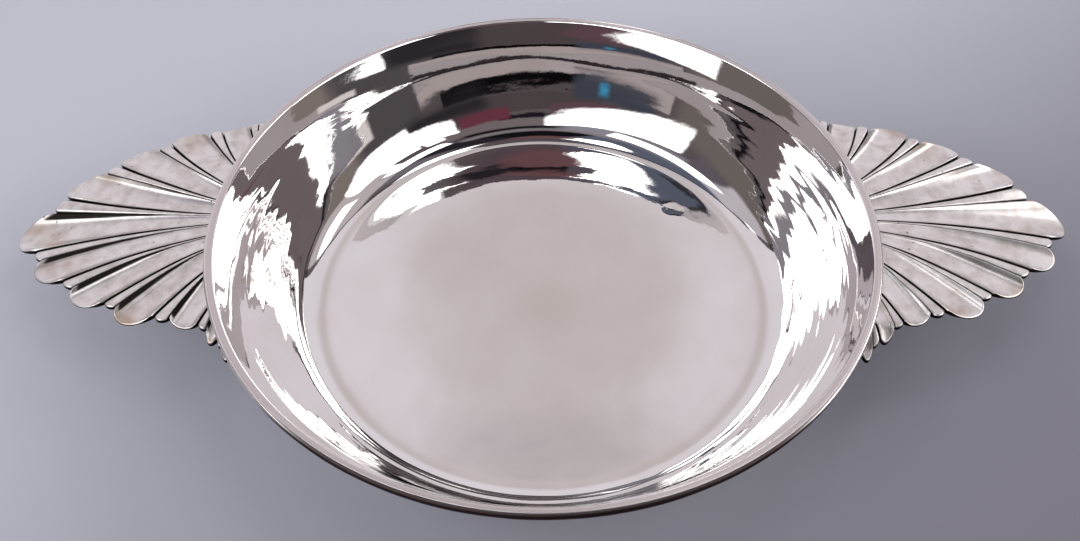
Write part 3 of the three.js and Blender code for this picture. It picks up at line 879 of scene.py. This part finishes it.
def makeFloor(look):
    # one square face; its tone changes by a smooth step along the direction of the painted shade
    half = look["size"] * mm / 2
    corners = [(-half, -half, 0), (half, -half, 0), (half, half, 0), (-half, half, 0)]
    mesh = bpy.data.meshes.new("floor")
    mesh.from_pydata(corners, [], [(0, 1, 2, 3)])
    floor = bpy.data.objects.new("floor", mesh)
    bpy.context.scene.collection.objects.link(floor)
    material, tree, place = newMaterial("mattPaper")
    # painted shade: the tone darkens along this direction
    across = addNode(tree, "VectorMath", {"operation": "DOT_PRODUCT"}, [place, look["paintedShadeDirection"]])
    shade = addNode(tree, "MapRange", smooth, {
        "Value": across, "From Min": look["from"] * mm, "From Max": look["to"] * mm})
    tone = addNode(tree, "Mix", colourMix, {
        "Factor": shade, "A": linearColour(look["light"]), "B": linearColour(look["dark"])})
    finishMaterial(tree, {
        "Base Color": tone, "Roughness": look["roughness"], "Specular IOR Level": look["specular"]})
    mesh.materials.append(material)
    return floor


makeFloor(floorLook)
print("floor laid")


# Light: a small studio, as the polish shows it


# Paper sweeps up behind the bowl, a tall window stands at the left and a wider one at the right, and the
# room in front is dark. Directions are degrees: azimuth 0 is +Y and grows towards +X; elevation is above
# the table.
studio = {
    "room": "#5a5356",
    "noise": {"scale": 3.5, "amount": 1.4},
    # each area, laid over those before it: azimuth from and to, elevation from and to, its rise for each
    # degree of azimuth, the softness of its edge, colour and strength
    "areas": {
        "overhead": (-200, 160, 79, 100, 0, 4, "#55484f", 1),
        "blueWall": (-178, -10, 54, 80, 0, 8, "#5a6070", 1),
        "darkRight": (88, 181, 54, 100, 0, 8, "#26242a", 1),
        "midBrown": (128, 215, 28, 49, 0, 3, "#73696c", 1),
        "darkMiddle": (138, 215, 48, 100, 0, 3, "#131217", 1),
        "frontHigh": (130, 230, 56, 64, 0, 3, "#817a7c", 1),
        "darkLine": (160, 200, 28.8, 31, 0, 0.7, "#1c1820", 1),
        "zenith": (-200, 160, 84, 100, 0, 2, "#6a4c50", 1),
        "greyArcs": (58, 100, 56, 74, -0.15, 6, "#6f6c72", 1),
        "upperRight": (72, 100, 34, 46, 0, 2, "#bbb2b3", 1),
        "rightGrey": (46, 90, 17, 57, 0, 2, "#bdb5b8", 1),
        "leftGrey": (-90, -46, 17, 57, 0, 2, "#bdb7bd", 1),
        "rightRing": (54, 79, 29, 42, 0, 1.5, "#ffffff", 3.6),
        "leftRing": (-62, -48, 36, 44, 0, 1.5, "#ffffff", 3.6),
        "leftGlow": (-170, -88, 34, 60, 0, 7, "#8f8c94", 1),
        "stripes": (-108, -92, 22, 42, 0.3, 2, "#5f585f", 1),
        "leftLow": (-125, -60, -5, 20, 0, 3, "#6b6461", 1),
        "rightLow": (60, 100, -5, 17, 0, 3, "#7d7470", 1),
        "table": (-180, 180, -12, 9.2, 0, 0.3, "#9f9799", 1),
        "beigeLeft": (-218, -128, 9.2, 13, 0, 0.5, "#a89d9d", 1),
        "beigeRight": (131, 182, 9.2, 12.4, 0, 0.5, "#a79c9b", 1),
        "darkStrip": (163, 197, 6.2, 8, 0, 0.25, "#2e282c", 1),
        "darkStripRight": (122, 166, 5.1, 6.8, 0.075, 0.25, "#2e282c", 1),
        "darkStripLeft": (-166, -122, 4.8, 6.5, -0.075, 0.25, "#2e282c", 1),
        "lowDark": (104, 131, 2, 15.5, 0, 1, "#4f4a4c", 1),
        "blackLine": (140, 197, 12.9, 15.8, 0, 0.5, "#0b090c", 1),
        "brownGrey": (128, 205, 16.3, 28, 0, 1, "#4c4446", 1),
        "brownDark": (122, 157, 15, 24, 0, 4, "#2c282c", 1),
        "redLeft": (-176, -148, 21.5, 30, -0.25, 1.2, "#5c444c", 1),
        "redRight": (143, 166, 25, 30.5, 0, 1.2, "#663642", 1),
        "blueDark": (-167, -133, 12.8, 19, 0, 2.5, "#3f434f", 1),
        "blueSpot": (-157, -153.5, 14.4, 15.8, 0, 1.2, "#4095bd", 1),
        "leftWindow": (-178, -116, 22, 38, -0.3, 1.7, "#ffffff", 3.6),
        "leftWindowTop": (-143, -82, 42, 56, 0, 1.5, "#ffffff", 3.6),
        "rightWindow": (87, 122, 16.5, 35, 0, 1.2, "#ffffff", 3.6),
        "rightTail": (118, 141, 22.5, 31, 0.2, 1.2, "#ffffff", 3.6),
        "rightSpike": (99, 105, 30, 48, 0, 2, "#ffffff", 3.6),
        "farSpike": (125, 133, 26, 39, 0, 1.5, "#ffffff", 3.6),
        "rightWindowTop": (92, 128, 46.6, 56, 0, 1.5, "#ffffff", 3.6),
        "lowPatch": (95, 110, 5, 10, 0, 1, "#d8d0ce", 1),
        "leftLamp": (-115, -28, 75.5, 84.5, 0, 1.2, "#ffffff", 3.6),
        "rightLamp": (12, 64, 65, 75, 0.2, 1.2, "#ffffff", 3.6),
    },
    "paper": {
        "middle": -4, "half": 56, "top": 69, "power": 4, "soft": 0.03,
        "low": "#dfdadf", "centre": "#dcd6db", "high": "#b4aeb1",
        "centreRise": (25, 45), "highRise": (57, 70),  # elevations between which the next tone comes in
    },
    "shade": {"middle": 2, "half": 26, "core": 4, "elevation": (33, 45), "colour": "#c8c0c1"},
    "paperEdge": {"from": 0.16, "to": 0.256, "share": 0.8, "colour": "#262123"},
    "cameraColour": "#b9bbc8",
}


def layered(tree, base, layers):
    # lays colours over a base one after another, each where its mask is 1
    for mask, colour in layers:
        base = addNode(tree, "Mix", colourMix, {"Factor": mask, "A": base, "B": colour})
    return base


def makeStudio(light):
    # light by direction: soft-edged areas over the room's tone, then the paper, which is a superellipse
    # in azimuth and elevation. The camera itself sees an even backdrop
    world = bpy.data.worlds.new("studio")
    bpy.context.scene.world = world
    world.use_nodes = True
    tree = world.node_tree
    tree.nodes.clear()
    subtract, multiply, divide, raised, absolute, wrapped, multiplyAdd = (
        {"operation": name}
        for name in ("SUBTRACT", "MULTIPLY", "DIVIDE", "POWER", "ABSOLUTE", "WRAP", "MULTIPLY_ADD"))

    # azimuth and elevation in degrees, each moved a little by a noise, as no edge in a room is straight
    direction = addNode(tree, "TexCoord").outputs["Generated"]
    axes = addNode(tree, "SeparateXYZ", None, [direction])
    turns = (
        addNode(tree, "Math", {"operation": "ARCTAN2"}, [axes.outputs["X"], axes.outputs["Y"]]),
        addNode(tree, "Math", {"operation": "ARCSINE"}, [axes.outputs["Z"]]),
    )
    uneven = addNode(tree, "TexNoise", None, {
        "Vector": direction, "Scale": light["noise"]["scale"], "Detail": 4, "Roughness": 0.6})
    parts = addNode(tree, "SeparateColor", None, [uneven.outputs["Color"]])
    moved = []
    for turn, part in zip(turns, parts.outputs):
        degrees = addNode(tree, "Math", multiply, [turn, 180 / np.pi])
        offset = addNode(tree, "Math", subtract, [part, 0.5])
        moved.append(addNode(tree, "Math", multiplyAdd, [offset, light["noise"]["amount"], degrees]))
    azimuth, elevation = moved

    layers = []
    for west, east, low, high, slant, soft, tone, strength in light["areas"].values():
        away = addNode(tree, "Math", subtract, [azimuth, (west + east) / 2])
        away = addNode(tree, "Math", wrapped, [away, 180, -180])
        rise = addNode(tree, "Math", subtract, [elevation, (low + high) / 2])
        rise = addNode(tree, "Math", multiplyAdd, [away, -slant, rise])
        masks = []
        for distance, half in ((away, (east - west) / 2), (rise, (high - low) / 2)):
            distance = addNode(tree, "Math", absolute, [distance])
            masks.append(addNode(tree, "MapRange", smooth, [distance, half + soft, half - soft]))
        red, green, blue, alpha = linearColour(tone)
        bright = (red * strength, green * strength, blue * strength, alpha)
        layers.append((addNode(tree, "Math", multiply, masks), bright))

    paper, shade, rim = light["paper"], light["shade"], light["paperEdge"]
    aside = addNode(tree, "Math", subtract, [azimuth, paper["middle"]])
    aside = addNode(tree, "Math", divide, [aside, paper["half"]])
    aside = addNode(tree, "Math", absolute, [aside])
    above = addNode(tree, "Math", {"operation": "MAXIMUM"}, [elevation, 0])
    above = addNode(tree, "Math", divide, [above, paper["top"]])
    powers = [addNode(tree, "Math", raised, [part, paper["power"]]) for part in (aside, above)]
    reach = addNode(tree, "Math", {"operation": "ADD"}, powers)
    besidePaper = addNode(tree, "MapRange", smooth, [
        reach, 1 + rim["to"], 1 + rim["from"], 0, rim["share"]])
    onPaper = addNode(tree, "MapRange", smooth, [reach, 1 + paper["soft"], 1 - paper["soft"]])

    # the paper's own tones: a darker middle above the table, and darker towards its top
    dusk = addNode(tree, "Math", subtract, [azimuth, shade["middle"]])
    dusk = addNode(tree, "Math", absolute, [dusk])
    dusk = addNode(tree, "MapRange", smooth, [dusk, shade["half"], shade["core"]])
    dusk = addNode(tree, "Math", multiply, [
        dusk, addNode(tree, "MapRange", smooth, [elevation, *shade["elevation"]])])
    centre = addNode(tree, "MapRange", smooth, [elevation, *paper["centreRise"]])
    high = addNode(tree, "MapRange", smooth, [elevation, *paper["highRise"]])
    tone = layered(tree, linearColour(paper["low"]), [
        (centre, linearColour(paper["centre"])),
        (dusk, linearColour(shade["colour"])),
        (high, linearColour(paper["high"])),
    ])
    colour = layered(tree, linearColour(light["room"]), [
        *layers, (besidePaper, linearColour(rim["colour"])), (onPaper, tone)])

    lit = addNode(tree, "Background", None, {"Color": colour, "Strength": 1})
    seen = addNode(tree, "Background", None, {"Color": linearColour(light["cameraColour"]), "Strength": 1})
    rays = addNode(tree, "LightPath")
    both = addNode(tree, "MixShader", None, [rays.outputs["Is Camera Ray"], lit, seen])
    addNode(tree, "OutputWorld", None, {"Surface": both})


makeStudio(studio)
bpy.context.scene.view_settings.view_transform = "Standard"
print("studio lit")
